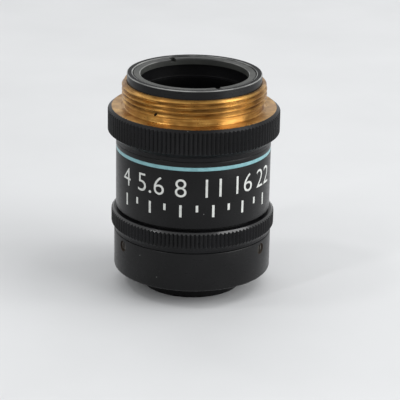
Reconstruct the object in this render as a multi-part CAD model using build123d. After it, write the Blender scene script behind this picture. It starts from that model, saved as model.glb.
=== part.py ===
import os
from math import asin, cos, degrees, radians, sin, sqrt

from build123d import *

# Small macro objective, standing on its front end. Z is the optical axis and points to the
# mount thread, and z = 0 is the front rim that it stands on. The -Y side is the lettered side.
# All sizes are millimetres. "_z" is a height, "_r" a radius, "_a" an angle in degrees.

# Clearances
seat_fit = 0.02         # pieces that slide together once and are then clamped
running_fit = 0.05      # the aperture ring and the cam ring in their bores
end_play = 0.07         # axial play of a turning ring
pin_fit = 0.03          # blade pins in their holes and slots
cement = 0.01           # cement film in the rear doublet

# Heights of the outside, from the front rim up
sleeve_bottom_z = 2.60
sleeve_height = 5.65
barrel_bottom_z = 11.77
barrel_height = 9.73
mount_height = 8.37
tube_height = 9.62      # of the rear tube, above the barrel

# Outside radii, and how far the rings and the sleeve stand proud of the barrel
nose_r = 7.15
barrel_r = 10.95
sleeve_proud = 0.25
aperture_proud = 0.65
rim_proud = 1.17
tube_inset = 1.50       # of the rear tube, in from the barrel

# Knurls: straight, cut with a pointed wheel
rim_teeth = 120
aperture_teeth = 119
knurl_depth = 0.20
knurl_end = 0.16        # height of the chamfer at both ends of the teeth
knurl_land = 0.12       # share of a tooth that stays flat at the crest

# Mount ring: neck, knurled rim, shoulder, relief groove and thread
mount_neck_proud = 0.07
mount_neck_height = 0.55
rim_lower_chamfer = 0.74
rim_height = 3.18       # full-radius stretch
rim_upper_chamfer = 0.33
shoulder_inset = 0.52   # from the rim in to the bare shoulder
relief_wall = 0.25      # left between the ring's bore and the relief groove
relief_height = 0.95
undercut_height = 0.05  # relief into the shoulder face, so that a mating face seats
thread_depth = 0.41     # from the relief out to the crests, for a 20.32 mm major diameter
thread_chamfer = 0.25

# Main barrel
barrel_chamfer = 0.15
band_z = 20.49          # middle of the enamelled groove
band_width = 0.54
band_depth = 0.12
collar_inset = 1.25     # of the part that the aperture ring turns on, in from the barrel
collar_bottom_z = 4.60
collar_wall = 1.70      # round the iris
tube_wall = 0.79
web_z = 11.90           # web between the iris and the rear cell
web_thickness = 0.80
web_overlap = 1.00      # of the web over the rear glass
tube_chamfer = 0.15

# Aperture ring
aperture_lip_inset = 0.45
aperture_lip_height = 0.36
aperture_lower_chamfer = 0.52
aperture_face_height = 2.05
aperture_upper_chamfer = 0.18
aperture_spigot_inset = 1.20
aperture_turn_a = 54.0  # from wide open to smallest

# Front sleeve and its screws
sleeve_floor = 0.95
sleeve_chamfer = 0.30
grub_r = 0.58
grub_length = 1.30
grub_z = 7.10
grub_first_a = -150.0
grub_count = 3
screw_slot = 0.26
screw_slot_depth = 0.45

# Front cell and its glass
flange_inset = 0.40     # in from the collar that it closes
flange_height = 1.00
glass_bore_r = 5.00
cell_web = 0.55
cell_web_hole_r = 4.00
cell_mouth_r = 5.20
front_vertex_z = 0.29
front_curve_r = 14.0
front_glass = 2.30
spacer_r = 4.40
spacer_height = 1.40
middle_front_curve_r = 16.0
middle_rear_curve_r = 12.0
middle_glass = 0.90
middle_dish_r = 4.10
front_ring_r = 4.20
ring_height = 0.72

# Iris
blade_count = 8
blade_ratio = 0.5       # blade turn for each degree of ring turn
pivot_inset = 1.80      # of the blade pivots, in from the bore round the iris
blade_inset = 0.40      # outer edge of an open blade, in from the pivots
blade_width = 1.80
open_inset = 0.10       # how far the open hole stands in from the blades
blade_span_a = 78.0
blade_start_a = 9.0
blade_sheet = 0.05
blade_rise = 0.12       # each blade climbs this much per millimetre away from its pivot
blade_lug_r = 0.55
pivot_pin_r = 0.25
drive_pin_r = 0.20
drive_along = 2.18      # drive pin from the pivot, along the blade
drive_across = 0.30     # and towards the axis
plate_height = 0.50
blade_gap = 0.05
cam_gap = 0.08
cam_height = 0.90
cam_inset = 0.50        # outside of the cam ring, in from the bore round the iris
cam_reach = 1.90        # from the pivots in to the cam ring's hole
drive_screw_r = 0.70
drive_tip_r = 0.30
drive_tip_reach = 0.55  # of the drive screw's tip into the cam ring's notch
drive_a = 90.0          # at the back when wide open
stop_play = 0.15

# Rear cell and its glass
rear_cell_height = 6.30
rear_cell_floor = 0.90
rear_cell_wall = 3.06   # from the rear bore in to the glass
cement_curve_r = 11.0
flint_edge = 2.40
crown_edge = 0.50
crown_curve_r = 16.0
rear_ring_width = 0.70
rear_mouth_wall = 1.46  # from the rear bore in to the cell's mouth

# Baffle and rear retaining ring
baffle_ledge_depth = 2.75
baffle_entry_inset = 0.76   # these three from the rear bore in
baffle_crest_inset = 1.56
baffle_root_inset = 1.16
baffle_pitch = 1.90
retaining_width = 1.06
retaining_height = 0.90
retaining_recess = 0.10
retaining_chamfer = 0.25
spanner_slot = 0.77
spanner_reach = 0.80
spanner_a = 114.0

# Sizes that follow
sleeve_r = barrel_r + sleeve_proud
tube_r = barrel_r - tube_inset
relief_r = tube_r + running_fit + relief_wall
thread_r = relief_r + thread_depth
collar_r = barrel_r - collar_inset
stop_bore_r = collar_r - collar_wall
flange_r = collar_r - flange_inset
rear_bore_r = tube_r - tube_wall
rear_glass_r = rear_bore_r - rear_cell_wall
rear_ring_r = rear_glass_r - rear_ring_width
rear_mouth_r = rear_bore_r - rear_mouth_wall
web_hole_r = rear_glass_r - web_overlap
baffle_entry_r = rear_bore_r - baffle_entry_inset
baffle_crest_r = rear_bore_r - baffle_crest_inset
baffle_root_r = rear_bore_r - baffle_root_inset
retaining_bore_r = rear_bore_r - retaining_width
pivot_circle_r = stop_bore_r - pivot_inset
blade_outer_r = pivot_circle_r - blade_inset
blade_inner_r = blade_outer_r - blade_width
open_r = blade_inner_r - open_inset
cam_r = stop_bore_r - cam_inset
cam_bore_r = pivot_circle_r - cam_reach
drive_tip_end_r = cam_r - drive_tip_reach
aperture_ring_r = barrel_r + aperture_proud
rim_r = barrel_r + rim_proud
mount_neck_r = barrel_r + mount_neck_proud
sleeve_top_z = sleeve_bottom_z + sleeve_height
aperture_bottom_z = sleeve_top_z + end_play
aperture_top_z = barrel_bottom_z - end_play
barrel_top_z = barrel_bottom_z + barrel_height
mount_top_z = barrel_top_z + mount_height
tube_top_z = barrel_top_z + tube_height
web_top_z = web_z + web_thickness
flange_bottom_z = collar_bottom_z - flange_height
plate_bottom_z = sleeve_top_z
plate_top_z = plate_bottom_z + plate_height
blade_z = plate_top_z + blade_gap


upwards = (Align.CENTER, Align.CENTER, Align.MIN)


def sag(curve_r, r):
    """Height of a spherical surface over a chord of radius r."""
    return curve_r - sqrt(curve_r**2 - r**2)


def turned(*points):
    """Solid turned about Z from a closed outline of (radius, height) points."""
    return revolve(Plane.XZ * make_face(Polyline(*points, close=True)), Axis.Z)


def polar(r, angle):
    return (r * cos(radians(angle)), r * sin(radians(angle)))


def around(count, first_a=0.0):
    """Angles of a circular pattern."""
    return [first_a + 360 / count * i for i in range(count)]


def radial(length, r, start_r, angle, z):
    """Round bar that points outwards at the given angle, from start_r on."""
    bar = Rot(0, 90, 0) * Cylinder(r, length, align=upwards)
    return Rot(0, 0, angle) * Pos(start_r, 0, z) * bar


def knurl(outer_r, teeth, bottom_z, height, bore_r):
    """Toothed band of a ring, with pointed grooves and chamfered ends."""
    pitch_a = 360 / teeth
    root_r = outer_r - knurl_depth
    outline = []
    for angle in around(teeth):
        outline.append(polar(outer_r, angle - pitch_a * knurl_land / 2))
        outline.append(polar(outer_r, angle + pitch_a * knurl_land / 2))
        outline.append(polar(root_r, angle + pitch_a / 2))
    teeth_face = make_face(Polyline(*outline, close=True)) - Circle(bore_r)
    top_z = bottom_z + height
    stock = turned(
        (bore_r, bottom_z),
        (root_r, bottom_z),
        (outer_r, bottom_z + knurl_end),
        (outer_r, top_z - knurl_end),
        (root_r, top_z),
        (bore_r, top_z),
    )
    return stock & (Pos(0, 0, bottom_z) * extrude(teeth_face, height))


def slotted_screw(end_r, r, length, angle, z):
    """Headless screw with its slotted end at end_r."""
    screw = radial(length, r, end_r - length, angle, z)
    slot = Pos(end_r, 0, z) * Box(2 * screw_slot_depth, screw_slot, 3 * r)
    return screw - Rot(0, 0, angle) * slot


def mount_ring():
    neck_z = barrel_top_z + mount_neck_height
    rim_z = neck_z + rim_lower_chamfer
    rim_top_z = rim_z + rim_height
    shoulder_z = rim_top_z + rim_upper_chamfer
    thread_z = shoulder_z + relief_height
    bore_r = tube_r + running_fit
    root_r = rim_r - knurl_depth
    undercut_r = thread_r + 2 * running_fit
    ring = turned(
        (bore_r, barrel_top_z),
        (mount_neck_r - barrel_chamfer, barrel_top_z),
        (mount_neck_r, barrel_top_z + barrel_chamfer),
        (mount_neck_r, neck_z),
        (root_r, rim_z),
        (root_r, rim_top_z),
        (rim_r - shoulder_inset, shoulder_z),
        (undercut_r, shoulder_z),
        (undercut_r, shoulder_z - undercut_height),
        (relief_r, shoulder_z - undercut_height),
        (relief_r, thread_z),
        (thread_r, thread_z),
        (thread_r, mount_top_z - thread_chamfer),
        (thread_r - thread_chamfer, mount_top_z),
        (bore_r, mount_top_z),
    )
    return ring + knurl(rim_r, rim_teeth, rim_z, rim_height, thread_r)


def drive_slot(inner_r, outer_r):
    """Slot that the tip of the drive screw travels in, as a cutter."""
    tip_z = cam_bottom_z + cam_height / 2
    half_height = drive_tip_r + stop_play
    end_a = degrees(asin((drive_tip_r + stop_play) / inner_r))
    wedge = turned(
        (inner_r - stop_play, tip_z - half_height),
        (outer_r + stop_play, tip_z - half_height),
        (outer_r + stop_play, tip_z + half_height),
        (inner_r - stop_play, tip_z + half_height),
    )
    reach = 3 * outer_r
    sweep_a = aperture_turn_a + 2 * end_a
    corners = [polar(reach, drive_a - end_a + sweep_a * i / 4) for i in range(5)]
    sector = extrude(make_face(Polyline((0, 0), *corners, close=True)), tube_top_z)
    return wedge & sector


def main_barrel():
    band_low_z = band_z - band_width / 2
    band_high_z = band_z + band_width / 2
    groove_r = barrel_r - band_depth
    body = turned(
        (stop_bore_r, collar_bottom_z),
        (collar_r, collar_bottom_z),
        (collar_r, barrel_bottom_z),
        (barrel_r - barrel_chamfer, barrel_bottom_z),
        (barrel_r, barrel_bottom_z + barrel_chamfer),
        (barrel_r, band_low_z),
        (groove_r, band_low_z),
        (groove_r, band_high_z),
        (barrel_r, band_high_z),
        (barrel_r, barrel_top_z - barrel_chamfer),
        (barrel_r - barrel_chamfer, barrel_top_z),
        (tube_r, barrel_top_z),
        (tube_r, tube_top_z - tube_chamfer),
        (tube_r - tube_chamfer, tube_top_z),
        (rear_bore_r, tube_top_z),
        (rear_bore_r, web_top_z),
        (web_hole_r, web_top_z),
        (web_hole_r, web_z),
        (stop_bore_r, web_z),
    )
    return body - drive_slot(stop_bore_r, collar_r)


def aperture_ring():
    bore_r = collar_r + running_fit
    lip_z = aperture_bottom_z + aperture_lip_height
    face_z = lip_z + aperture_lower_chamfer
    face_top_z = face_z + aperture_face_height
    step_z = face_top_z + aperture_upper_chamfer
    root_r = aperture_ring_r - knurl_depth
    lip_r = aperture_ring_r - aperture_lip_inset
    spigot_r = aperture_ring_r - aperture_spigot_inset
    ring = turned(
        (bore_r, aperture_bottom_z),
        (lip_r, aperture_bottom_z),
        (lip_r, lip_z),
        (root_r, face_z),
        (root_r, face_top_z),
        (root_r - aperture_upper_chamfer, step_z),
        (spigot_r, step_z),
        (spigot_r, aperture_top_z),
        (bore_r, aperture_top_z),
    )
    ring += knurl(aperture_ring_r, aperture_teeth, face_z, aperture_face_height, spigot_r)
    tip_z = cam_bottom_z + cam_height / 2
    return ring - radial(2 * aperture_ring_r, drive_screw_r + seat_fit, 0, drive_a, tip_z)


def drive_screw():
    tip_z = cam_bottom_z + cam_height / 2
    shank_r = collar_r + 2 * running_fit
    end_r = aperture_ring_r - knurl_depth - running_fit
    shank = slotted_screw(end_r, drive_screw_r, end_r - shank_r, drive_a, tip_z)
    tip = radial(shank_r - drive_tip_end_r, drive_tip_r, drive_tip_end_r, drive_a, tip_z)
    return shank + tip


def front_sleeve():
    hole_r = nose_r + running_fit
    bore_r = collar_r + seat_fit
    floor_z = sleeve_bottom_z + sleeve_floor
    sleeve = turned(
        (hole_r, sleeve_bottom_z),
        (sleeve_r - sleeve_chamfer, sleeve_bottom_z),
        (sleeve_r, sleeve_bottom_z + sleeve_chamfer),
        (sleeve_r, sleeve_top_z - barrel_chamfer),
        (sleeve_r - barrel_chamfer, sleeve_top_z),
        (bore_r, sleeve_top_z),
        (bore_r, floor_z),
        (hole_r, floor_z),
    )
    for angle in around(grub_count, grub_first_a):
        sleeve -= radial(2 * sleeve_r, grub_r + seat_fit, 0, angle, grub_z)
    return sleeve


def grub_screws():
    tip_r = collar_r + seat_fit
    screws = [
        slotted_screw(tip_r + grub_length, grub_r, grub_length, angle, grub_z)
        for angle in around(grub_count, grub_first_a)
    ]
    return Compound(children=screws)


middle_flat_z = front_vertex_z + front_glass + spacer_height
middle_front_sag = sag(middle_front_curve_r, middle_dish_r)
middle_edge = middle_front_sag + middle_glass + sag(middle_rear_curve_r, cell_web_hole_r)
cell_web_z = middle_flat_z + middle_edge


def front_cell():
    bore_top_z = cell_web_z + seat_fit
    return turned(
        (glass_bore_r, 0),
        (nose_r - barrel_chamfer, 0),
        (nose_r, barrel_chamfer),
        (nose_r, flange_bottom_z),
        (flange_r, flange_bottom_z),
        (flange_r, collar_bottom_z),
        (stop_bore_r - seat_fit, collar_bottom_z),
        (stop_bore_r - seat_fit, plate_bottom_z),
        (cell_mouth_r, plate_bottom_z),
        (cell_web_hole_r, bore_top_z + cell_web),
        (cell_web_hole_r, bore_top_z),
        (glass_bore_r, bore_top_z),
    )


def glass(*edges):
    return revolve(Plane.XZ * make_face(Wire(edges)), Axis.Z)


def surface(vertex_z, curve_r, edge_r, side):
    """Spherical surface as an arc from the axis outwards. side is 1 where the edge is higher."""
    middle_r = edge_r / 2
    return ThreePointArc(
        (0, vertex_z),
        (middle_r, vertex_z + side * sag(curve_r, middle_r)),
        (edge_r, vertex_z + side * sag(curve_r, edge_r)),
    )


def front_element():
    edge_r = glass_bore_r - seat_fit
    front = surface(front_vertex_z, front_curve_r, edge_r, 1)
    rear_z = front_vertex_z + front_glass
    return glass(front, Line(front @ 1, (edge_r, rear_z)), Line((edge_r, rear_z), (0, rear_z)),
                 Line((0, rear_z), (0, front_vertex_z)))


def front_retaining_ring():
    edge_r = glass_bore_r - seat_fit
    top_z = front_vertex_z + sag(front_curve_r, front_ring_r) - cement
    ring = turned(
        (front_ring_r, top_z - ring_height),
        (edge_r, top_z - ring_height),
        (edge_r, top_z),
        (front_ring_r, top_z),
    )
    slot = Pos(0, 0, top_z - ring_height) * Box(2 * glass_bore_r, spanner_slot, ring_height)
    return ring - slot


def front_spacer():
    edge_r = glass_bore_r - seat_fit
    bottom_z = front_vertex_z + front_glass
    top_z = middle_flat_z
    return turned((spacer_r, bottom_z), (edge_r, bottom_z), (edge_r, top_z), (spacer_r, top_z))


def middle_element():
    edge_r = glass_bore_r - seat_fit
    low_vertex_z = middle_flat_z + middle_front_sag
    high_vertex_z = low_vertex_z + middle_glass
    front = surface(low_vertex_z, middle_front_curve_r, middle_dish_r, -1)
    rear = surface(high_vertex_z, middle_rear_curve_r, cell_web_hole_r, 1)
    edge = Line((edge_r, middle_flat_z), (edge_r, cell_web_z))
    lower_flat = Line(front @ 1, edge @ 0)
    upper_flat = Line(edge @ 1, rear @ 1)
    return glass(front, lower_flat, edge, upper_flat, rear, Line(rear @ 0, front @ 0))


# The iris. Each blade lies on a shallow cone about its own pivot, so it passes over the next
# blade's pivot and under the one before, and stays clear of them all the way as it turns.
blade_middle_r = (blade_inner_r + blade_outer_r) / 2
blade_tail_a = blade_start_a + blade_span_a + degrees(asin(blade_width / 2 / blade_middle_r))
blade_reach = sqrt(pivot_circle_r**2 + blade_outer_r**2
                   - 2 * pivot_circle_r * blade_outer_r * cos(radians(blade_tail_a)))
cam_bottom_z = blade_z + blade_rise * (blade_reach - blade_lug_r) + blade_sheet + cam_gap
cam_top_z = cam_bottom_z + cam_height
drive_pin = (pivot_circle_r - drive_across, drive_along)


def drive_pin_in_cam(ring_a):
    """Where the cam ring meets blade 1's drive pin, in the cam ring's own frame."""
    turn = radians(ring_a * blade_ratio)
    x = pivot_circle_r - drive_across * cos(turn) - drive_along * sin(turn)
    y = drive_along * cos(turn) - drive_across * sin(turn)
    back = radians(-ring_a)
    return (x * cos(back) - y * sin(back), x * sin(back) + y * cos(back))


def cam_ring():
    ring = turned(
        (cam_bore_r, cam_bottom_z),
        (cam_r, cam_bottom_z),
        (cam_r, cam_top_z),
        (cam_bore_r, cam_top_z),
    )
    path = ThreePointArc(*[drive_pin_in_cam(aperture_turn_a * share) for share in (0, 0.5, 1)])
    slot = Pos(0, 0, cam_bottom_z) * extrude(SlotArc(path, 2 * (drive_pin_r + running_fit)), cam_height)
    for angle in around(blade_count):
        ring -= Rot(0, 0, angle) * slot
    notch_width = 2 * (drive_tip_r + pin_fit)
    notch_r = drive_tip_end_r - pin_fit
    notch = Pos(notch_r, 0, cam_bottom_z) * Box(
        cam_r, notch_width, cam_height, align=(Align.MIN, Align.CENTER, Align.MIN))
    return ring - Rot(0, 0, drive_a) * notch


def iris_housing():
    outer_r = stop_bore_r - seat_fit
    inner_r = cam_r + running_fit
    housing = turned(
        (open_r, plate_bottom_z),
        (outer_r, plate_bottom_z),
        (outer_r, cam_top_z + running_fit),
        (inner_r, cam_top_z + running_fit),
        (inner_r, plate_top_z),
        (open_r, plate_top_z),
    )
    for angle in around(blade_count):
        x, y = polar(pivot_circle_r, angle)
        housing -= Pos(x, y, plate_bottom_z) * Cylinder(pivot_pin_r + pin_fit, 2 * plate_height)
    return housing - drive_slot(inner_r, outer_r)


def iris_cap():
    outer_r = stop_bore_r - seat_fit
    bottom_z = cam_top_z + running_fit
    return turned((web_hole_r, bottom_z), (outer_r, bottom_z), (outer_r, web_z), (web_hole_r, web_z))


def iris_blade(angle):
    """Blade with its pivot at the given angle, wide open."""
    crescent = SlotArc(CenterArc((0, 0), blade_middle_r, blade_start_a, blade_span_a), blade_width)
    lug_a = degrees(asin(drive_along / sqrt(drive_along**2 + drive_across**2)))
    lug_length = sqrt(drive_along**2 + drive_across**2)
    lug_middle = (pivot_circle_r - drive_across / 2, drive_along / 2)
    lug = Pos(*lug_middle) * Rot(0, 0, -lug_a) * SlotCenterToCenter(lug_length, 2 * blade_lug_r)
    root = Pos(*polar(pivot_circle_r - blade_lug_r, blade_start_a)) * Circle(2 * blade_lug_r)
    far = blade_reach + blade_lug_r
    top = blade_rise * (far - blade_lug_r)
    under = [(0, 0), (blade_lug_r, 0), (far, top)]
    over = [(r, z + blade_sheet) for r, z in reversed(under)]
    shell = Pos(pivot_circle_r, 0, blade_z) * turned(*under, *over)
    stock = Pos(0, 0, blade_z) * extrude(crescent + lug + root, top + blade_sheet)
    blade = shell & stock
    pivot = Cylinder(pivot_pin_r, plate_height + blade_sheet / 2, align=upwards)
    pivot = Pos(pivot_circle_r, 0, plate_bottom_z + blade_gap) * pivot
    drive_z = blade_z + blade_rise * (lug_length - blade_lug_r) + blade_sheet / 2
    drive = Pos(*drive_pin, drive_z) * Cylinder(drive_pin_r, cam_top_z - blade_gap - drive_z, align=upwards)
    return Rot(0, 0, angle) * (blade + pivot + drive)


# The rear cell, in the barrel above the web, and the cemented doublet in it
flint_z = web_top_z + rear_cell_floor
flint_top_z = flint_z + flint_edge
crown_top_z = flint_top_z + cement + crown_edge
crown_vertex_z = crown_top_z + sag(crown_curve_r, rear_glass_r)
rear_ring_z = crown_vertex_z - sag(crown_curve_r, rear_ring_r) + cement
rear_cell_top_z = web_top_z + rear_cell_height


def rear_cell():
    outer_r = rear_bore_r - seat_fit
    bore_r = rear_glass_r + seat_fit
    mouth_z = rear_ring_z + ring_height
    return turned(
        (web_hole_r, web_top_z),
        (outer_r, web_top_z),
        (outer_r, rear_cell_top_z),
        (rear_mouth_r, rear_cell_top_z),
        (rear_mouth_r, mouth_z),
        (bore_r, mouth_z),
        (bore_r, flint_z),
        (web_hole_r, flint_z),
    )


def rear_flint_element():
    rear = surface(flint_top_z - sag(cement_curve_r, rear_glass_r), cement_curve_r, rear_glass_r, 1)
    return glass(rear, Line(rear @ 1, (rear_glass_r, flint_z)), Line((rear_glass_r, flint_z), (0, flint_z)),
                 Line((0, flint_z), rear @ 0))


def rear_crown_element():
    front = surface(flint_top_z + cement - sag(cement_curve_r, rear_glass_r), cement_curve_r, rear_glass_r, 1)
    rear = surface(crown_vertex_z, crown_curve_r, rear_glass_r, -1)
    return glass(front, Line(front @ 1, rear @ 1), rear, Line(rear @ 0, front @ 0))


def rear_cell_ring():
    outer_r = rear_glass_r
    top_z = rear_ring_z + ring_height
    inner_r = rear_ring_r
    ring = turned((inner_r, rear_ring_z), (outer_r, rear_ring_z), (outer_r, top_z), (inner_r, top_z))
    return ring - Pos(0, 0, top_z) * Box(2 * rear_bore_r, spanner_slot, ring_height)


retaining_top_z = tube_top_z - retaining_recess
retaining_z = retaining_top_z - retaining_height
ledge_z = tube_top_z - baffle_ledge_depth


def rear_baffle():
    outer_r = rear_bore_r - seat_fit
    outline = [(outer_r, rear_cell_top_z), (outer_r, retaining_z)]
    outline += [(baffle_entry_r, retaining_z), (baffle_entry_r, ledge_z)]
    groove_count = int((ledge_z - rear_cell_top_z) / baffle_pitch)
    for i in range(groove_count):
        crest_z = ledge_z - i * baffle_pitch
        outline += [(baffle_crest_r, crest_z), (baffle_crest_r, crest_z - baffle_pitch / 3)]
        outline.append((baffle_root_r, crest_z - baffle_pitch))
    outline += [(baffle_crest_r, ledge_z - groove_count * baffle_pitch), (baffle_crest_r, rear_cell_top_z)]
    return turned(*outline)


def rear_retaining_ring():
    outer_r = rear_bore_r - seat_fit
    ring = turned(
        (retaining_bore_r, retaining_z),
        (outer_r, retaining_z),
        (outer_r, retaining_top_z),
        (retaining_bore_r + retaining_chamfer, retaining_top_z),
        (retaining_bore_r, retaining_top_z - retaining_chamfer),
    )
    reach = 2 * (retaining_bore_r + spanner_reach)
    slot = Pos(0, 0, retaining_top_z) * Box(reach, spanner_slot, retaining_height)
    return ring - Rot(0, 0, spanner_a) * slot


pieces = {
    "mount_ring": mount_ring(),
    "main_barrel": main_barrel(),
    "aperture_ring": aperture_ring(),
    "drive_screw": drive_screw(),
    "cam_ring": cam_ring(),
    "front_sleeve": front_sleeve(),
    "grub_screws": grub_screws(),
    "front_cell": front_cell(),
    "front_retaining_ring": front_retaining_ring(),
    "front_element": front_element(),
    "front_spacer": front_spacer(),
    "middle_element": middle_element(),
    "iris_housing": iris_housing(),
    "iris_cap": iris_cap(),
    "rear_cell": rear_cell(),
    "rear_flint_element": rear_flint_element(),
    "rear_crown_element": rear_crown_element(),
    "rear_cell_ring": rear_cell_ring(),
    "rear_baffle": rear_baffle(),
    "rear_retaining_ring": rear_retaining_ring(),
}
for number, blade_a in enumerate(around(blade_count), start=1):
    pieces[f"iris_blade_{number}"] = iris_blade(blade_a)

os.makedirs("parts", exist_ok=True)
for name, piece in pieces.items():
    export_step(piece, f"parts/{name}.step")
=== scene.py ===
import math

import bmesh
import bpy
from mathutils import Matrix, Vector


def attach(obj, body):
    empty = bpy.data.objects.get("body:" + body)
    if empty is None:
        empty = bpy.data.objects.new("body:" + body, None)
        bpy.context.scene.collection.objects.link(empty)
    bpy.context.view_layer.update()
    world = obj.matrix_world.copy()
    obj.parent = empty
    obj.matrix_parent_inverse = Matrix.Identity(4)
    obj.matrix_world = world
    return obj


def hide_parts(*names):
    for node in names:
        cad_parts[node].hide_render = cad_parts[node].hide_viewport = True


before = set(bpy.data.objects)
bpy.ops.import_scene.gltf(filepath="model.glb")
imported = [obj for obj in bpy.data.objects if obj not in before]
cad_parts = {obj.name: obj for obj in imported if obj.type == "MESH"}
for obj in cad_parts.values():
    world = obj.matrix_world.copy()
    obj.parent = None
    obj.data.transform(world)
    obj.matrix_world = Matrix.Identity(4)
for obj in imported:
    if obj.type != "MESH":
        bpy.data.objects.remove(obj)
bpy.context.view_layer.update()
print("frame loaded:", len(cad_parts), "nodes")

mm = 0.001       # pieces are drawn in millimetres, then brought to metres
tiny = 0.0005    # points nearer than this are one point, in millimetres
hair = tiny / 5  # the same for cuts and lettering
slack = 0.01     # heights and radii nearer than this count as one, where faces or edges are chosen
turnSteps = 240  # faces round a turned piece
sharpA = 32      # edges that bend by more degrees than this stay sharp


# Colours and nodes

def toLinear(hexColour):
    channels = [int(hexColour[i:i + 2], 16) / 255 for i in (0, 2, 4)]
    return [c / 12.92 if c <= 0.04045 else ((c + 0.055) / 1.055) ** 2.4 for c in channels] + [1.0]


# adds a node and gives its live output: the inputs, by name or number, are values, hex colours or the
# sockets that feed them
def addNode(tree, kind, inputs=None, **settings):
    made = tree.nodes.new(kind)
    for name, value in settings.items():
        setattr(made, name, value)
    for name, value in (inputs or {}).items():
        if isinstance(value, bpy.types.NodeSocket):
            tree.links.new(value, made.inputs[name])
        else:
            made.inputs[name].default_value = toLinear(value) if isinstance(value, str) else value
    return next(socket for socket in made.outputs if socket.enabled)


mixShare, mixFirst, mixSecond = 0, 6, 7      # a Mix node's sockets for colours, whose names repeat


def startMaterial(name, **shaderSettings):
    made = bpy.data.materials.new(name)
    made.use_nodes = True
    tree = made.node_tree
    shader = tree.nodes["Principled BSDF"]
    for label, value in shaderSettings.items():
        shader.inputs[label.replace("_", " ")].default_value = value
    place = addNode(tree, "ShaderNodeTexCoord").node.outputs["Object"]
    return made, tree, shader, place


# noise with grains of about size millimetres, longer where stretch is below 1
def grains(tree, place, size, stretch=(1, 1, 1)):
    scale = [s / (size * mm) for s in stretch]
    scaled = addNode(tree, "ShaderNodeMapping", {"Vector": place, "Scale": scale})
    return addNode(tree, "ShaderNodeTexNoise", {"Vector": scaled, "Scale": 1.0, "Detail": 3.0})


# patches of those grains: out[0] where the noise is below ramp[0], out[1] above ramp[1], a slope between
def patches(tree, place, size, ramp, out=(0.0, 1.0), stretch=(1, 1, 1)):
    return addNode(tree, "ShaderNodeMapRange", {
        "Value": grains(tree, place, size, stretch), "From Min": ramp[0], "From Max": ramp[1],
        "To Min": out[0], "To Max": out[1]})


# one colour with patches of a second, which reaches the share called most
def patchColour(tree, place, first, second, size, ramp, most=1.0, stretch=(1, 1, 1)):
    share = patches(tree, place, size, ramp, (0.0, most), stretch)
    return addNode(tree, "ShaderNodeMix", {mixShare: share, mixFirst: first, mixSecond: second},
                   data_type="RGBA")


# small round specks on a colour: spacing and size in millimetres, kept at a share of their places
def speckColour(tree, place, under, over, spacing, size, share):
    cells = addNode(tree, "ShaderNodeTexVoronoi", {"Vector": place, "Scale": 1 / (spacing * mm)})
    near = addNode(tree, "ShaderNodeMapRange", {"Value": cells, "From Min": size / spacing,
                                                "From Max": 0.6 * size / spacing})
    chance = addNode(tree, "ShaderNodeSeparateXYZ", {"Vector": cells.node.outputs["Color"]})
    kept = addNode(tree, "ShaderNodeMath", {0: chance, 1: share}, operation="LESS_THAN")
    shown = addNode(tree, "ShaderNodeMath", {0: near, 1: kept}, operation="MULTIPLY")
    return addNode(tree, "ShaderNodeMix", {mixShare: shown, mixFirst: under, mixSecond: over},
                   data_type="RGBA")


# fine rings that a turning tool leaves: pitch and depth in millimetres
def turningMarks(tree, shader, place, pitch, depth):
    along = 12      # the rings hardly change round the axis
    scale = (along, along, 1 / (pitch * mm))
    scaled = addNode(tree, "ShaderNodeMapping", {"Vector": place, "Scale": scale})
    rings = addNode(tree, "ShaderNodeTexNoise", {"Vector": scaled, "Scale": 1.0, "Detail": 2.0})
    bump = addNode(tree, "ShaderNodeBump", {"Height": rings, "Distance": depth * mm})
    tree.links.new(bump, shader.inputs["Normal"])


# Materials

# Black anodised and matt lacquered alloy, turned: deep neutral black with a soft satin sheen towards its
# edges, fine turning rings, a few pale dust specks and patches of a second tone for worn places; on some
# looks these tones also paint highlights and light, as the comment at each look says
def blackAnodised(name, look):
    made, tree, shader, place = startMaterial(name, Specular_IOR_Level=look["sheen"])
    tone = patchColour(tree, place, look["deep"], look["rubbedAndLit"], size=5.0, ramp=(0.35, 0.7))
    tone = speckColour(tree, place, tone, look["dust"], spacing=look["dustGap"], size=look["dustSize"],
                       share=look["dustShare"])
    tree.links.new(tone, shader.inputs["Base Color"])
    dullness = (look["roughness"] - 0.04, look["roughness"] + 0.06)
    rough = patches(tree, place, size=1.2, ramp=(0.3, 0.7), out=dullness, stretch=(1, 1, 6))
    tree.links.new(rough, shader.inputs["Roughness"])
    turningMarks(tree, shader, place, look["ringPitch"], look["ringDepth"])
    return made


# share of grease: patchy, and only in the roots of the thread
def greaseShare(tree, place, look):
    parts = addNode(tree, "ShaderNodeSeparateXYZ", {"Vector": place}).node.outputs
    flat = addNode(tree, "ShaderNodeCombineXYZ", {"X": parts["X"], "Y": parts["Y"]})
    reach = addNode(tree, "ShaderNodeVectorMath", {"Vector": flat}, operation="LENGTH")
    crestR, rootR = look["greaseR"]
    lowZ, highZ = look["greaseZ"]
    inRoot = addNode(tree, "ShaderNodeMapRange", {"Value": reach, "From Min": crestR * mm,
                                                  "From Max": rootR * mm})
    onThread = addNode(tree, "ShaderNodeMapRange", {"Value": parts["Z"], "From Min": lowZ * mm,
                                                    "From Max": highZ * mm})
    patchy = patches(tree, place, size=1.1, ramp=(0.35, 0.65), out=(0.1, look["greased"]),
                     stretch=(0.4, 0.4, 1.5))
    there = addNode(tree, "ShaderNodeMath", {0: inRoot, 1: onThread}, operation="MULTIPLY")
    return addNode(tree, "ShaderNodeMath", {0: there, 1: patchy}, operation="MULTIPLY")


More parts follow.
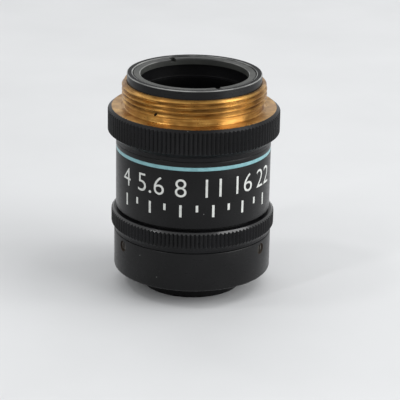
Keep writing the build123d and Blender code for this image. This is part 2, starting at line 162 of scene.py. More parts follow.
# Turned brass, long in use: warm gold with a brown bloom, bright streaks round the axis and dark grease
# in the roots of the thread
def turnedBrass(name, look):
    made, tree, shader, place = startMaterial(name, Metallic=1.0, Anisotropic=look["grain"],
                                              Anisotropic_Rotation=0.25)
    tone = patchColour(tree, place, look["metal"], look["bright"], size=0.35, ramp=(0.3, 0.7),
                       stretch=(0.12, 0.12, 1.6))
    tone = patchColour(tree, place, tone, look["bloom"], size=2.2, ramp=(0.42, 0.75), most=0.7)
    grease = greaseShare(tree, place, look)
    tone = addNode(tree, "ShaderNodeMix", {mixShare: grease, mixFirst: tone, mixSecond: look["grease"]},
                   data_type="RGBA")
    tone = speckColour(tree, place, tone, look["grease"], spacing=0.45, size=0.07, share=0.3)
    tree.links.new(tone, shader.inputs["Base Color"])
    dullness = (look["roughness"] - 0.05, look["roughness"] + 0.1)
    clean = patches(tree, place, size=2.2, ramp=(0.35, 0.7), out=dullness)
    greasy = addNode(tree, "ShaderNodeMath", {0: grease, 1: 0.3}, operation="MULTIPLY")
    rough = addNode(tree, "ShaderNodeMath", {0: clean, 1: greasy}, operation="ADD")
    tree.links.new(rough, shader.inputs["Roughness"])
    turningMarks(tree, shader, place, look["ringPitch"], look["ringDepth"])
    tangent = addNode(tree, "ShaderNodeTangent", direction_type="RADIAL", axis="Z")
    tree.links.new(tangent, shader.inputs["Tangent"])
    return made


# Enamel that fills a groove or a cut number: even, slightly glossy, with a little grime
def filledPaint(name, look):
    made, tree, shader, place = startMaterial(name, Roughness=look["roughness"])
    tone = patchColour(tree, place, look["paint"], look["grime"], size=0.8, ramp=(0.45, 0.8), most=0.6)
    tree.links.new(tone, shader.inputs["Base Color"])
    waves = addNode(tree, "ShaderNodeBump", {"Height": grains(tree, place, 0.2), "Distance": 0.006 * mm})
    tree.links.new(waves, shader.inputs["Normal"])
    return made


# Steel of the small screws and blades, turned or rolled: grey and plain, a little darker where it is worn
def smallMetal(name, look):
    made, tree, shader, place = startMaterial(name, Metallic=look["metallic"], Roughness=look["roughness"])
    tone = patchColour(tree, place, look["metal"], look["worn"], size=0.5, ramp=(0.4, 0.7))
    tree.links.new(tone, shader.inputs["Base Color"])
    turningMarks(tree, shader, place, pitch=0.12, depth=0.004)
    return made


# Coated optical glass, polished: clear, with a faint amber or violet reflection
def coatedGlass(name, look):
    made, tree, shader, place = startMaterial(name, Roughness=0.0, IOR=look["ior"], Transmission_Weight=1.0)
    tint = patchColour(tree, place, look["coating"], look["edge"], size=3.0, ramp=(0.4, 0.8))
    tree.links.new(tint, shader.inputs["Specular Tint"])
    return made


# satin black of the barrel and the sleeve; lengths are in millimetres
barrelLook = {"deep": "0c0c0d", "rubbedAndLit": "131314", "dust": "9a9b9a", "roughness": 0.30, "sheen": 0.20,
              "dustGap": 0.8, "dustSize": 0.06, "dustShare": 0.06, "ringPitch": 0.10, "ringDepth": 0.003}
# knurled rings: a shade paler, and dustier
knurlLook = dict(barrelLook, deep="0e0e0f", rubbedAndLit="161618", dustShare=0.12, sheen=0.16)
# matt lacquered bores: the blackest, with coarse rings against stray light
boreLook = dict(barrelLook, deep="070708", rubbedAndLit="0e0e0f", dustShare=0.03, roughness=0.45, sheen=0.12,
                ringPitch=0.25, ringDepth=0.008)
# top of the rear tube's wall: nearly no sheen, and dusty
wallTopLook = dict(barrelLook, sheen=0.05, roughness=0.4, dustShare=0.15)
# rear retaining ring: a grey tone that paints the light its rough face catches from above
retainerLook = dict(barrelLook, deep="2e2f2d", rubbedAndLit="4a4b48", roughness=0.5, sheen=0.25, dustShare=0.1)
# worn edges: black broken by pale patches, which paint the thin edge highlights as well as bare alloy
# showing through
wornAndHighlitLook = dict(barrelLook, deep="1c1c1c", rubbedAndLit="a2a3a0", roughness=0.35, sheen=0.4, dustShare=0.2)
# chamfer of the aperture ring: smooth enough to glint
chamferLook = dict(barrelLook, roughness=0.16, sheen=0.60)
# holes and knocks: a dark base that paints the shade inside them, with brown dirt and brassy specks
pitLook = dict(barrelLook, deep="0a0908", rubbedAndLit="2b2014", dust="a07c45", dustShare=0.2, sheen=0.1,
               roughness=0.5)
# brass: grease starts inside the first radius and is full at the second, and so it is with the heights
brassLook = {"metal": "9c6d31", "bright": "dcae62", "bloom": "774b22", "grease": "4e3119", "greased": 0.7,
             "roughness": 0.30, "grain": 0.95, "greaseR": (10.11, 9.76), "greaseZ": (27.30, 27.45),
             "ringPitch": 0.09, "ringDepth": 0.004}
materials = {
    "barrel": blackAnodised("blackAnodisedSatin", barrelLook),
    "knurl": blackAnodised("blackAnodisedKnurl", knurlLook),
    # the bore finish also paints the shade of the joint round the rear retaining ring
    "bore": blackAnodised("mattBlackBoreAndJointShade", boreLook),
    "wallTop": blackAnodised("blackLacquerRim", wallTopLook),
    "retainer": blackAnodised("greyPaintedLightRing", retainerLook),
    # the worn edge finish also paints thin highlights along the edges
    "worn": blackAnodised("wornEdgeAndPaintedHighlight", wornAndHighlitLook),
    "chamfer": blackAnodised("polishedBlackChamfer", chamferLook),
    "pit": blackAnodised("dirtAndPaintedShadeInHoles", pitLook),
    "brass": turnedBrass("turnedBrass", brassLook),
    "blue": filledPaint("paleBlueEnamel", {"paint": "7fb0b6", "grime": "5b8a90", "roughness": 0.30}),
    "white": filledPaint("whiteFillPaint", {"paint": "d2d4d0", "grime": "a3a5a1", "roughness": 0.5}),
    "steel": smallMetal("plainSteel", {"metal": "5a5753", "worn": "38332d", "metallic": 1.0,
                                       "roughness": 0.45}),
    "blade": smallMetal("bluedSpringSteel", {"metal": "2b2d33", "worn": "3c3a3a", "metallic": 0.6,
                                             "roughness": 0.4}),
    "glass": coatedGlass("coatedGlass", {"ior": 1.6, "coating": "e8c9ff", "edge": "ffdcb4"}),
}
print("materials made:", len(materials))


# Meshes

# distance of a point from the lens axis
def fromAxis(point):
    return math.hypot(point.x, point.y)


# wire outline of (radius, height, rounding of that corner), in the XZ plane
def drawOutline(bm, outline, closed):
    corners = [bm.verts.new((r, 0, z)) for r, z, rounding in outline]
    for pair in zip(corners, corners[1:] + corners[:1] if closed else corners[1:]):
        bm.edges.new(pair)
    for size in sorted({point[2] for point in outline if point[2] > 0}):
        chosen = [corner for corner, point in zip(corners, outline) if point[2] == size]
        bmesh.ops.bevel(bm, geom=chosen, offset=size, affect="VERTICES", segments=3, profile=0.5,
                        material=-1)


# turns an outline round the axis; climb is the rise of each step, for a thread
def turnOutline(outline, closed=True, steps=turnSteps, sweep=math.tau, climb=0.0):
    bm = bmesh.new()
    drawOutline(bm, outline, closed)
    bmesh.ops.spin(bm, geom=bm.verts[:] + bm.edges[:], cent=(0, 0, 0), axis=(0, 0, 1), angle=sweep,
                   steps=steps, dvec=(0, 0, climb), use_merge=sweep == math.tau)
    return bm


# a straight knurl: one tooth is turned and cut to shape, then repeated round the axis
def turnKnurled(outline, knurl, closed=True):
    step = math.tau / knurl["teeth"]
    halfLand = knurl["land"] / 2
    places = [0.0, 0.5 - halfLand, 0.5 + halfLand, 1.0]       # groove, both edges of the crest, groove
    last = len(places) - 1
    bm = turnOutline(outline, closed, last, step)
    for v in bm.verts:
        reach = fromAxis(v.co)
        index = round(math.atan2(v.co.y, v.co.x) / step * last)
        limit = knurl["crestR"] - (knurl["depth"] if index in (0, last) else 0.0)
        cut = max(0.0, reach - limit)
        if cut and v.co.z > knurl["topZ"] - tiny:
            v.co.z += cut * knurl["topSlope"]
        elif cut and v.co.z < knurl["bottomZ"] + tiny:
            v.co.z -= cut * knurl["bottomSlope"]
        angle = step * places[index]
        v.co.x, v.co.y = (reach - cut) * math.cos(angle), (reach - cut) * math.sin(angle)
    bmesh.ops.spin(bm, geom=bm.verts[:] + bm.edges[:] + bm.faces[:], cent=(0, 0, 0), axis=(0, 0, 1),
                   angle=math.tau - step, steps=knurl["teeth"] - 1, use_duplicate=True)
    bmesh.ops.remove_doubles(bm, verts=bm.verts, dist=tiny)
    return bm


# a bmesh in millimetres becomes a mesh in metres, with its faces outwards
def makeMesh(bm, name, finishes):
    bmesh.ops.recalc_face_normals(bm, faces=bm.faces)
    bmesh.ops.scale(bm, vec=(mm, mm, mm), verts=bm.verts)
    mesh = bpy.data.meshes.new(name)
    bm.to_mesh(mesh)
    bm.free()
    for finish in finishes:
        mesh.materials.append(materials[finish])
    return mesh


def smoothMesh(mesh):
    mesh.shade_smooth()
    mesh.set_sharp_from_angle(angle=math.radians(sharpA))


def placeObject(name, data):
    made = bpy.data.objects.new(name, data)
    bpy.context.scene.collection.objects.link(made)
    return made


# a bmesh becomes a finished piece: it rides on a body and stands for a node
def finishPiece(bm, name, finishes, body, node=None):
    bmesh.ops.remove_doubles(bm, verts=bm.verts, dist=tiny)
    mesh = makeMesh(bm, name, finishes)
    smoothMesh(mesh)
    piece = placeObject(name, mesh)
    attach(piece, body)
    if node:
        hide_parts(node)
    print(name, "has", len(mesh.polygons), "faces")
    return piece


# cuts a bmesh out of a piece; the cut faces get their own finish where one is named
def cutOut(piece, cutter, finish=None):
    mesh = makeMesh(cutter, "cutter", [finish] if finish else [])
    tool = placeObject("cutter", mesh)
    change = piece.modifiers.new("cut", "BOOLEAN")
    change.object, change.operation, change.solver = tool, "DIFFERENCE", "EXACT"
    change.material_mode = "TRANSFER" if finish else "INDEX"
    ready = piece.evaluated_get(bpy.context.evaluated_depsgraph_get())
    made = bpy.data.meshes.new_from_object(ready)
    piece.modifiers.clear()
    spare, piece.data = piece.data, made
    made.name = piece.name
    bpy.data.meshes.remove(spare)
    bpy.data.objects.remove(tool)
    bpy.data.meshes.remove(mesh)
    smoothMesh(made)


def joinInto(whole, part):
    spare = bpy.data.meshes.new("part")
    part.to_mesh(spare)
    part.free()
    whole.from_mesh(spare)
    bpy.data.meshes.remove(spare)


# adds a round hole's tool to a cutter: it points outwards at an angle, with a countersink at mouthR, and
# ends a millimetre outside the wall
def addHole(cutter, hole, angle, z):
    sinkR, pastR = hole["mouthR"] - hole["sink"], hole["mouthR"] + 1.0
    wide = hole["r"] + hole["sink"]
    outline = [(0, hole["fromR"], 0), (hole["r"], hole["fromR"], 0), (hole["r"], sinkR, 0),
               (wide, hole["mouthR"], 0), (wide, pastR, 0), (0, pastR, 0)]
    part = turnOutline(outline, steps=32)
    bmesh.ops.remove_doubles(part, verts=part.verts, dist=tiny)
    swing = Matrix.Rotation(math.radians(angle), 4, "Z") @ Matrix.Rotation(math.radians(90), 4, "Y")
    bmesh.ops.transform(part, matrix=Matrix.Translation((0, 0, z)) @ swing, verts=part.verts)
    joinInto(cutter, part)


# Camera, set as the photograph's 400 by 400 frame shows the lens

view = {"aim": (1.06, 0.0, 12.17), "pitch": 20.01, "roll": 1.04, "distance": 251.5, "lens": 158.2,
        "sensor": 36}


def placeCamera():
    pitch, roll = math.radians(view["pitch"]), math.radians(view["roll"])
    forward = Vector((0, math.cos(pitch), -math.sin(pitch)))
    right = Vector((1, 0, 0))
    up = right.cross(forward)
    leaning = right * math.cos(roll) + up * math.sin(roll)
    upright = up * math.cos(roll) - right * math.sin(roll)
    data = bpy.data.cameras.new("camera")
    data.lens, data.sensor_width = view["lens"], view["sensor"]
    data.clip_start, data.clip_end = 0.01, 20      # in metres
    camera = placeObject("camera", data)
    seat = (Vector(view["aim"]) - forward * view["distance"]) * mm
    columns = Matrix((leaning, upright, -forward)).transposed().to_4x4()
    camera.matrix_world = Matrix.Translation(seat) @ columns
    bpy.context.scene.camera = camera


placeCamera()
print("camera set")


# Mount ring: black knurled rim, bare brass shoulder, relief groove and thread

mount = {
    "boreR": 9.50, "bottomZ": 21.50, "neckR": 11.02, "neckZ": 22.05,
    "shoulderR": 11.60, "shoulderZ": 26.30, "undercutR": 10.26, "undercutDepth": 0.05,
    "reliefR": 9.75, "threadZ": 27.25, "topZ": 29.87, "threadR": 10.16, "rootR": 9.75,
    "pitch": 0.7056, "crestZ": 28.17, "threadSteps": 240, "topChamfer": 0.25,
    "bareR": 11.58, "bareZ": 26.20,      # bare brass inside this radius and above this height
}
# shares of the pitch and of the depth, from root to crest to root
threadShape = [(0.0, 0.0), (0.06, 0.0), (0.25, 0.5), (0.44, 1.0), (0.56, 1.0), (0.75, 0.5), (0.94, 0.0),
               (1.0, 0.0)]
nick = {"angle": -121.0, "z": 27.50, "reach": 10.02, "r": 0.24}      # a knock on the thread's lowest turn
mountKnurl = {"teeth": 120, "depth": 0.20, "land": 0.12, "crestR": 12.12, "bottomZ": 22.95,
              "topZ": 25.88, "topSlope": 0.81, "bottomSlope": 0.82}


# helical wall of the thread, open at both ends
def cutThread(size):
    rise, steps = size["pitch"], size["threadSteps"]
    deep = size["threadR"] - size["rootR"]
    spareTurns = 2                                # the ends are cut away again
    crestShare, frontTurn = 0.5, 0.75             # crestZ is the height of a crest at the front
    turns = math.ceil((size["topZ"] - size["threadZ"]) / rise) + spareTurns
    firstZ = size["crestZ"] - rise * (crestShare + frontTurn + spareTurns)
    outline = [(size["rootR"] + deep * out, firstZ + rise * up, 0) for up, out in threadShape]
    bm = turnOutline(outline, closed=False, steps=steps * turns, sweep=math.tau * turns, climb=rise / steps)
    bmesh.ops.remove_doubles(bm, verts=bm.verts, dist=tiny)
    for z, side in ((size["threadZ"], 1), (size["topZ"], -1)):
        bmesh.ops.bisect_plane(bm, geom=bm.verts[:] + bm.edges[:] + bm.faces[:], dist=hair,
                               plane_co=(0, 0, z), plane_no=(0, 0, side), clear_inner=True)
    for v in bm.verts:                            # lead-in chamfer
        reach = fromAxis(v.co)
        limit = size["threadR"] - max(0.0, v.co.z - (size["topZ"] - size["topChamfer"]))
        if reach > limit:
            v.co.x, v.co.y = v.co.x * limit / reach, v.co.y * limit / reach
    return bm


def openEdges(bm, z):
    return [e for e in bm.edges if e.is_boundary and all(abs(v.co.z - z) < slack for v in e.verts)]


def makeMountRing():
    size, knurl = mount, mountKnurl
    undercutZ = size["shoulderZ"] - size["undercutDepth"]
    outline = [
        (size["boreR"], size["topZ"], 0), (size["boreR"], size["bottomZ"], 0.05),
        (size["neckR"], size["bottomZ"], 0.12), (size["neckR"], size["neckZ"], 0.05),
        (knurl["crestR"], knurl["bottomZ"], 0), (knurl["crestR"], knurl["topZ"], 0),
        (size["shoulderR"], size["shoulderZ"], 0.04), (size["undercutR"], size["shoulderZ"], 0),
        (size["undercutR"], undercutZ, 0), (size["reliefR"], undercutZ, 0.15),
        (size["reliefR"], size["threadZ"], 0),
    ]
    ring = turnKnurled(outline, knurl, closed=False)
    joinInto(ring, cutThread(size))
    for z in (size["threadZ"], size["topZ"]):     # join the thread to the relief and to the bore
        bmesh.ops.bridge_loops(ring, edges=openEdges(ring, z))
    print("mount ring open edges:", sum(e.is_boundary for e in ring.edges))
    for face in ring.faces:
        middle = face.calc_center_median()
        bare = fromAxis(middle) < size["bareR"] and middle.z > size["bareZ"]
        face.material_index = 0 if bare else 1
    piece = finishPiece(ring, "mountRing", ["brass", "knurl"], "barrel", "mount_ring")
    cutter = bmesh.new()
    around = math.radians(nick["angle"])
    x, y = nick["reach"] * math.cos(around), nick["reach"] * math.sin(around)
    place = Matrix.Translation((x, y, nick["z"]))
    bmesh.ops.create_icosphere(cutter, subdivisions=3, radius=nick["r"], matrix=place)
    cutOut(piece, cutter, "pit")


makeMountRing()


# Main barrel, with the groove for the enamel and the window that the drive screw travels in

barrel = {
    "r": 10.95, "bottomZ": 11.77, "topZ": 21.50, "edge": 0.15,
    "bandZ": 20.49, "bandWidth": 0.54, "bandDepth": 0.12,
    "collarR": 9.70, "collarZ": 4.60, "tubeR": 9.45, "tubeTopZ": 31.12, "rearBoreR": 8.66,
    "webTopZ": 12.70, "webZ": 11.90, "webHoleR": 4.60, "stopBoreR": 8.00,
    "windowZ": (9.90, 10.92), "windowA": (85.4, 148.6), "wornDepth": 0.20,
}


def makeBarrel():
    size = barrel
    low, high = size["bandZ"] - size["bandWidth"] / 2, size["bandZ"] + size["bandWidth"] / 2
    grooveR = size["r"] - size["bandDepth"]
    windowLow, windowHigh = size["windowZ"]
    windowStart, windowEnd = size["windowA"]
    outline = [
        (size["stopBoreR"], size["collarZ"], 0), (size["collarR"], size["collarZ"], 0),
        (size["collarR"], windowLow, 0), (size["collarR"], windowHigh, 0),
        (size["collarR"], size["bottomZ"], 0), (size["r"], size["bottomZ"], size["edge"]),
        (size["r"], low, 0.03), (grooveR, low, 0), (grooveR, high, 0), (size["r"], high, 0.03),
        (size["r"], size["topZ"], size["edge"]), (size["tubeR"], size["topZ"], 0),
        (size["tubeR"], size["tubeTopZ"], 0.12), (size["rearBoreR"], size["tubeTopZ"], 0.14),
        (size["rearBoreR"], size["webTopZ"], 0), (size["webHoleR"], size["webTopZ"], 0),
        (size["webHoleR"], size["webZ"], 0), (size["stopBoreR"], size["webZ"], 0),
        (size["stopBoreR"], windowHigh, 0), (size["stopBoreR"], windowLow, 0),
    ]
    bm = turnOutline(outline)
    bmesh.ops.remove_doubles(bm, verts=bm.verts, dist=tiny)
    window = []
    for face in bm.faces:
        middle = face.calc_center_median()
        angle = math.degrees(math.atan2(middle.y, middle.x))
        upright = abs(face.normal.z) < 0.5
        if upright and windowLow < middle.z < windowHigh and windowStart < angle < windowEnd:
            window.append(face)
    bmesh.ops.delete(bm, geom=window, context="FACES")
    bmesh.ops.bridge_loops(bm, edges=[e for e in bm.edges if e.is_boundary])
    for face in bm.faces:                         # flat top of the tube, and the edges beside it with painted highlights and wear
        height = face.calc_center_median().z
        if height > size["tubeTopZ"] - size["wornDepth"]:
            face.material_index = 1 if height > size["tubeTopZ"] - tiny else 2
    finishPiece(bm, "mainBarrel", ["barrel", "wallTop", "worn"], "barrel", "main_barrel")


makeBarrel()


# Enamel band in the barrel's groove

band = {"innerR": 10.80, "outerR": 10.92, "rounding": 0.04}


def makeBand():
    low, high = barrel["bandZ"] - barrel["bandWidth"] / 2, barrel["bandZ"] + barrel["bandWidth"] / 2
    outline = [(band["innerR"], low, 0), (band["outerR"], low, band["rounding"]),
               (band["outerR"], high, band["rounding"]), (band["innerR"], high, 0)]
    finishPiece(turnOutline(outline), "enamelBand", ["blue"], "barrel")


makeBand()


# Aperture ring, with the drive screw's hole

aperture = {
    "boreR": 9.75, "bottomZ": 8.32, "lipR": 11.15, "lipZ": 8.68, "stepZ": 11.43, "stepR": 11.22,
    "spigotR": 10.40, "topZ": 11.70,
}
apertureKnurl = {"teeth": 119, "depth": 0.20, "land": 0.12, "crestR": 11.60, "bottomZ": 9.34,
                 "topZ": 11.10, "topSlope": 0.87, "bottomSlope": 1.45}
driveHole = {"r": 0.72, "sink": 0.0, "fromR": 9.0, "mouthR": 11.9, "angle": 90.0, "z": 10.40}


def makeApertureRing():
    size, knurl = aperture, apertureKnurl
    outline = [
        (size["boreR"], size["bottomZ"], 0.05), (size["lipR"], size["bottomZ"], 0.06),
        (size["lipR"], size["lipZ"], 0.05), (knurl["crestR"], knurl["bottomZ"], 0),
        (knurl["crestR"], knurl["topZ"], 0), (size["stepR"], size["stepZ"], 0.03),
        (size["spigotR"], size["stepZ"], 0), (size["spigotR"], size["topZ"], 0.04),
        (size["boreR"], size["topZ"], 0.04),
    ]
    ring = turnKnurled(outline, knurl)
    for face in ring.faces:
        middle = face.calc_center_median()
        if middle.z > knurl["topZ"] and fromAxis(middle) > size["stepR"]:
            face.material_index = 1
    piece = finishPiece(ring, "apertureRing", ["knurl", "chamfer"], "aperture_control", "aperture_ring")
    cutter = bmesh.new()
    addHole(cutter, driveHole, driveHole["angle"], driveHole["z"])
    cutOut(piece, cutter)


makeApertureRing()


# Front sleeve, with three countersunk grub screw holes

sleeve = {"r": 11.20, "bottomZ": 2.60, "topZ": 8.25, "holeR": 7.20, "boreR": 9.72, "floorZ": 3.55,
          "lowEdge": 0.34, "topEdge": 0.15, "screwZ": 7.10, "screwA": (-150.0, -30.0, 90.0)}
grubHole = {"r": 0.60, "sink": 0.20, "fromR": 9.0, "mouthR": 11.20}


def makeSleeve():
    size = sleeve
    outline = [
        (size["holeR"], size["bottomZ"], 0.05), (size["r"], size["bottomZ"], size["lowEdge"]),
        (size["r"], size["topZ"], size["topEdge"]), (size["boreR"], size["topZ"], 0.05),
        (size["boreR"], size["floorZ"], 0), (size["holeR"], size["floorZ"], 0),
    ]
    piece = finishPiece(turnOutline(outline), "frontSleeve", ["barrel"], "barrel", "front_sleeve")
    cutter = bmesh.new()
    for angle in size["screwA"]:
        addHole(cutter, grubHole, angle, size["screwZ"])
    cutOut(piece, cutter, "pit")


makeSleeve()


# Front cell, the nose that the lens stands on

frontCell = {"mouthR": 5.00, "noseR": 7.15, "flangeR": 9.30, "flangeZ": 3.60, "flangeTopZ": 4.60,
             "bodyR": 7.98, "topZ": 8.25, "boreR": 5.20, "webHoleR": 4.00, "webTopZ": 6.68, "webZ": 6.13}


def makeFrontCell():
    size = frontCell
    outline = [
        (size["mouthR"], 0.0, 0.06), (size["noseR"], 0.0, 0.20), (size["noseR"], size["flangeZ"], 0),
        (size["flangeR"], size["flangeZ"], 0), (size["flangeR"], size["flangeTopZ"], 0),
        (size["bodyR"], size["flangeTopZ"], 0), (size["bodyR"], size["topZ"], 0),
        (size["boreR"], size["topZ"], 0), (size["webHoleR"], size["webTopZ"], 0),
        (size["webHoleR"], size["webZ"], 0), (size["mouthR"], size["webZ"], 0),
    ]
    finishPiece(turnOutline(outline), "frontCell", ["barrel"], "barrel", "front_cell")


makeFrontCell()


# Rear retaining ring with two spanner slots, and the baffle below it

rearRing = {"boreR": 7.60, "outerR": 8.64, "bottomZ": 30.12, "topZ": 31.02, "edge": 0.12, "jointShadeWidth": 0.12,
            "slotWidth": 0.77, "slotReach": 8.40, "slotDepth": 0.45, "slotA": 114.0}


def makeRearRing():
    size = rearRing
    edgeR, edgeZ = size["boreR"] + size["edge"], size["topZ"] - size["edge"]
    outline = [
        (size["boreR"], size["bottomZ"], 0), (size["outerR"], size["bottomZ"], 0),
        (size["outerR"], size["topZ"], 0.14), (edgeR, size["topZ"], 0.02), (size["boreR"], edgeZ, 0.02),
    ]
    bm = turnOutline(outline)
    for face in bm.faces:                         # inner edge with painted highlights and wear, and a dark band of painted shade where the ring meets the tube
        middle = face.calc_center_median()
        reach = fromAxis(middle)
        if middle.z > edgeZ and reach < edgeR - slack:
            face.material_index = 1
        elif reach > size["outerR"] - size["jointShadeWidth"]:
            face.material_index = 2
    piece = finishPiece(bm, "rearRetainingRing", ["retainer", "worn", "bore"], "barrel",
                        "rear_retaining_ring")
    cutter = bmesh.new()
    swing = Matrix.Translation((0, 0, size["topZ"])) @ Matrix.Rotation(math.radians(size["slotA"]), 4, "Z")
    block = Matrix.Diagonal((2 * size["slotReach"], size["slotWidth"], 2 * size["slotDepth"], 1))
    bmesh.ops.create_cube(cutter, size=1.0, matrix=swing @ block)
    cutOut(piece, cutter)


makeRearRing()

baffle = {"outerR": 8.64, "bottomZ": 19.00, "topZ": 30.12, "entryR": 7.90, "ledgeZ": 28.37, "crestR": 7.10,
          "rootR": 7.50, "pitch": 1.90, "grooves": 4}


def makeBaffle():
    size = baffle
    outline = [(size["outerR"], size["bottomZ"], 0), (size["outerR"], size["topZ"], 0),
               (size["entryR"], size["topZ"], 0), (size["entryR"], size["ledgeZ"], 0.08)]
    for i in range(size["grooves"]):              # a flat crest, then a slope to the groove's root
        z = size["ledgeZ"] - i * size["pitch"]
        outline += [(size["crestR"], z, 0), (size["crestR"], z - size["pitch"] / 3, 0),
                    (size["rootR"], z - size["pitch"], 0)]
    outline += [(size["crestR"], size["ledgeZ"] - size["grooves"] * size["pitch"], 0),
                (size["crestR"], size["bottomZ"], 0)]
    finishPiece(turnOutline(outline), "rearBaffle", ["bore"], "barrel", "rear_baffle")


makeBaffle()


# Numbers round the barrel, engraved and filled with white: a plain scale of stops with its lines

dial = {"numbers": ("4", "5.6", "8", "11", "16", "22"), "firstA": -146.0, "lastA": -27.0, "z": 16.45,
        "height": 2.6, "r": 10.95, "proud": 0.012, "sunk": 0.03, "cut": 0.25, "weight": -0.008,
        "curveSteps": 6}
ticks = {"z": 13.55, "long": 1.75, "short": 0.95, "width": 0.34, "between": 2}


# wraps a flat drawing, x along and y up, round the barrel at an angle
def wrapOnBarrel(bm, angle, z):
    low, high = min(v.co.x for v in bm.verts), max(v.co.x for v in bm.verts)
    cuts = math.ceil((high - low) / dial["cut"])
    for i in range(1, cuts):
        bmesh.ops.bisect_plane(bm, geom=bm.verts[:] + bm.edges[:] + bm.faces[:], dist=hair,
                               plane_co=(low + (high - low) * i / cuts, 0, 0), plane_no=(1, 0, 0))
    added = bmesh.ops.extrude_face_region(bm, geom=bm.faces[:])["geom"]
    top = [v for v in added if isinstance(v, bmesh.types.BMVert)]
    bmesh.ops.translate(bm, verts=top, vec=(0, 0, 1))      # raised side at 1, sunk side at 0
    for v in bm.verts:
        raised = v.co.z > 0.5
        reach = dial["r"] + dial["proud"] if raised else dial["r"] - dial["sunk"]
        turn = math.radians(angle) + v.co.x / dial["r"]
        v.co = (reach * math.cos(turn), reach * math.sin(turn), z + v.co.y)


def numberMesh(words):
    curve = bpy.data.curves.new("number", "FONT")
    curve.body, curve.size, curve.offset, curve.align_x = words, 1.0, dial["weight"], "CENTER"
    curve.resolution_u = dial["curveSteps"]
    writing = placeObject("number", curve)
    ready = writing.evaluated_get(bpy.context.evaluated_depsgraph_get())
    flat = bpy.data.meshes.new_from_object(ready)
    bm = bmesh.new()
    bm.from_mesh(flat)
    bpy.data.meshes.remove(flat)
    bpy.data.objects.remove(writing)
    bmesh.ops.remove_doubles(bm, verts=bm.verts, dist=hair)
    bottom, top = min(v.co.y for v in bm.verts), max(v.co.y for v in bm.verts)
    scale = dial["height"] / (top - bottom)
    bmesh.ops.translate(bm, verts=bm.verts, vec=(0, -bottom, 0))
    bmesh.ops.scale(bm, vec=(scale, scale, 1), verts=bm.verts)
    return bm


def makeDial():
    whole = bmesh.new()
    count = len(dial["numbers"])
    step = (dial["lastA"] - dial["firstA"]) / (count - 1)
    for i, words in enumerate(dial["numbers"]):
        part = numberMesh(words)
        wrapOnBarrel(part, dial["firstA"] + step * i, dial["z"])
        joinInto(whole, part)
    for i in range((count - 1) * ticks["between"] + 1):
        length = ticks["short"] if i % ticks["between"] else ticks["long"]
        part = bmesh.new()
        shift = Matrix.Translation((0, ticks["long"] - length / 2, 0))
        strip = Matrix.Diagonal((ticks["width"], length, 1, 1))
        bmesh.ops.create_grid(part, x_segments=1, y_segments=1, size=0.5, matrix=shift @ strip)
        wrapOnBarrel(part, dial["firstA"] + step * i / ticks["between"], ticks["z"])
        joinInto(whole, part)
    finishPiece(whole, "dialNumbers", ["white"], "barrel")


makeDial()


# Finishes of the CAD parts that no piece replaces

nodeFinish = {
    "grub_screws": "steel", "drive_screw": "steel", "cam_ring": "brass", "iris_housing": "bore",
    "iris_cap": "bore", "rear_cell": "bore", "rear_cell_ring": "bore", "front_spacer": "bore",
    "front_retaining_ring": "bore", "front_element": "glass", "middle_element": "glass",
    "rear_flint_element": "glass", "rear_crown_element": "glass",
}
nodeFinish.update({f"iris_blade_{i}": "blade" for i in range(1, 9)})
for node, finish in nodeFinish.items():
    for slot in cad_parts[node].material_slots:
        slot.material = materials[finish]
print("finishes given to", len(nodeFinish), "nodes")


# Floor, world and lamps; the floor's half side is in metres

studio = {"floor": "dbdcdd", "floorPatch": "d7d8d9", "patchSize": 25.0, "halfSide": 3.0,
          "sky": "e6e7e8", "skyLight": 0.70, "lampAim": (0, 0, 14)}
lamps = {
    "keyRight": {"azimuth": 8, "height": 58, "distance": 480, "size": (200, 200), "power": 0.42},
    "rightFront": {"azimuth": -22, "height": 22, "distance": 420, "size": (320, 320), "power": 1.2},
    "backWash": {"azimuth": 95, "height": 48, "distance": 450, "size": (400, 160), "power": 0.35},
    "leftStrip": {"azimuth": -137, "height": 30, "distance": 420, "size": (14, 280), "power": 0.22},
    "leftHigh": {"azimuth": -168, "height": 57, "distance": 420, "size": (50, 50), "power": 0.16},
}


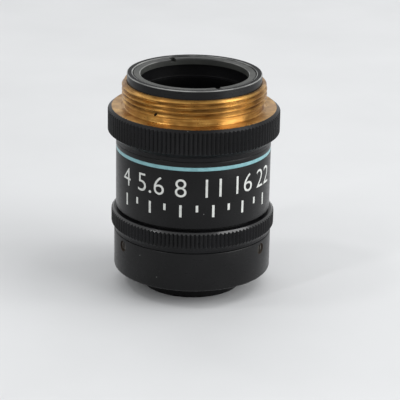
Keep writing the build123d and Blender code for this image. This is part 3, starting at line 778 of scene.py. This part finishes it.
# Pale lacquered board: plain and matt, with hardly any mottle
def paleBoard():
    made, tree, shader, place = startMaterial("paleBoard", Roughness=0.7, Specular_IOR_Level=0.2)
    tone = patchColour(tree, place, studio["floor"], studio["floorPatch"], studio["patchSize"], (0.35, 0.7))
    tree.links.new(tone, shader.inputs["Base Color"])
    return made


def makeFloor():
    bm = bmesh.new()
    bmesh.ops.create_grid(bm, x_segments=1, y_segments=1, size=studio["halfSide"])
    mesh = bpy.data.meshes.new("floor")
    bm.to_mesh(mesh)
    bm.free()
    mesh.materials.append(paleBoard())
    floor = placeObject("floor", mesh)


# the sky lights softly, but the camera, metal and glass see it at full strength
def makeWorld():
    world = bpy.data.worlds.new("studio")
    world.use_nodes = True
    bpy.context.scene.world = world
    tree = world.node_tree
    shader = tree.nodes["Background"]
    rays = addNode(tree, "ShaderNodeLightPath").node.outputs
    bounced = addNode(tree, "ShaderNodeMath", {0: rays["Is Glossy Ray"], 1: rays["Is Transmission Ray"]},
                      operation="MAXIMUM")
    seen = addNode(tree, "ShaderNodeMath", {0: rays["Is Camera Ray"], 1: bounced}, operation="MAXIMUM")
    strength = addNode(tree, "ShaderNodeMapRange", {"Value": seen, "To Min": studio["skyLight"],
                                                    "To Max": 1.0})
    tree.links.new(strength, shader.inputs["Strength"])
    shader.inputs["Color"].default_value = toLinear(studio["sky"])


def makeLamps():
    aim = Vector(studio["lampAim"]) * mm
    for name, lamp in lamps.items():
        data = bpy.data.lights.new(name, "AREA")
        data.shape, data.energy = "RECTANGLE", lamp["power"]
        data.size, data.size_y = lamp["size"][0] * mm, lamp["size"][1] * mm
        around, high = math.radians(lamp["azimuth"]), math.radians(lamp["height"])
        flat = math.cos(high)
        outwards = Vector((math.cos(around) * flat, math.sin(around) * flat, math.sin(high)))
        holder = placeObject(name, data)
        turn = outwards.to_track_quat("Z", "Y").to_matrix().to_4x4()
        holder.matrix_world = Matrix.Translation(aim + outwards * lamp["distance"] * mm) @ turn


makeFloor()
makeWorld()
makeLamps()
bpy.context.scene.view_settings.view_transform = "Standard"
print("floor, world and lamps set")
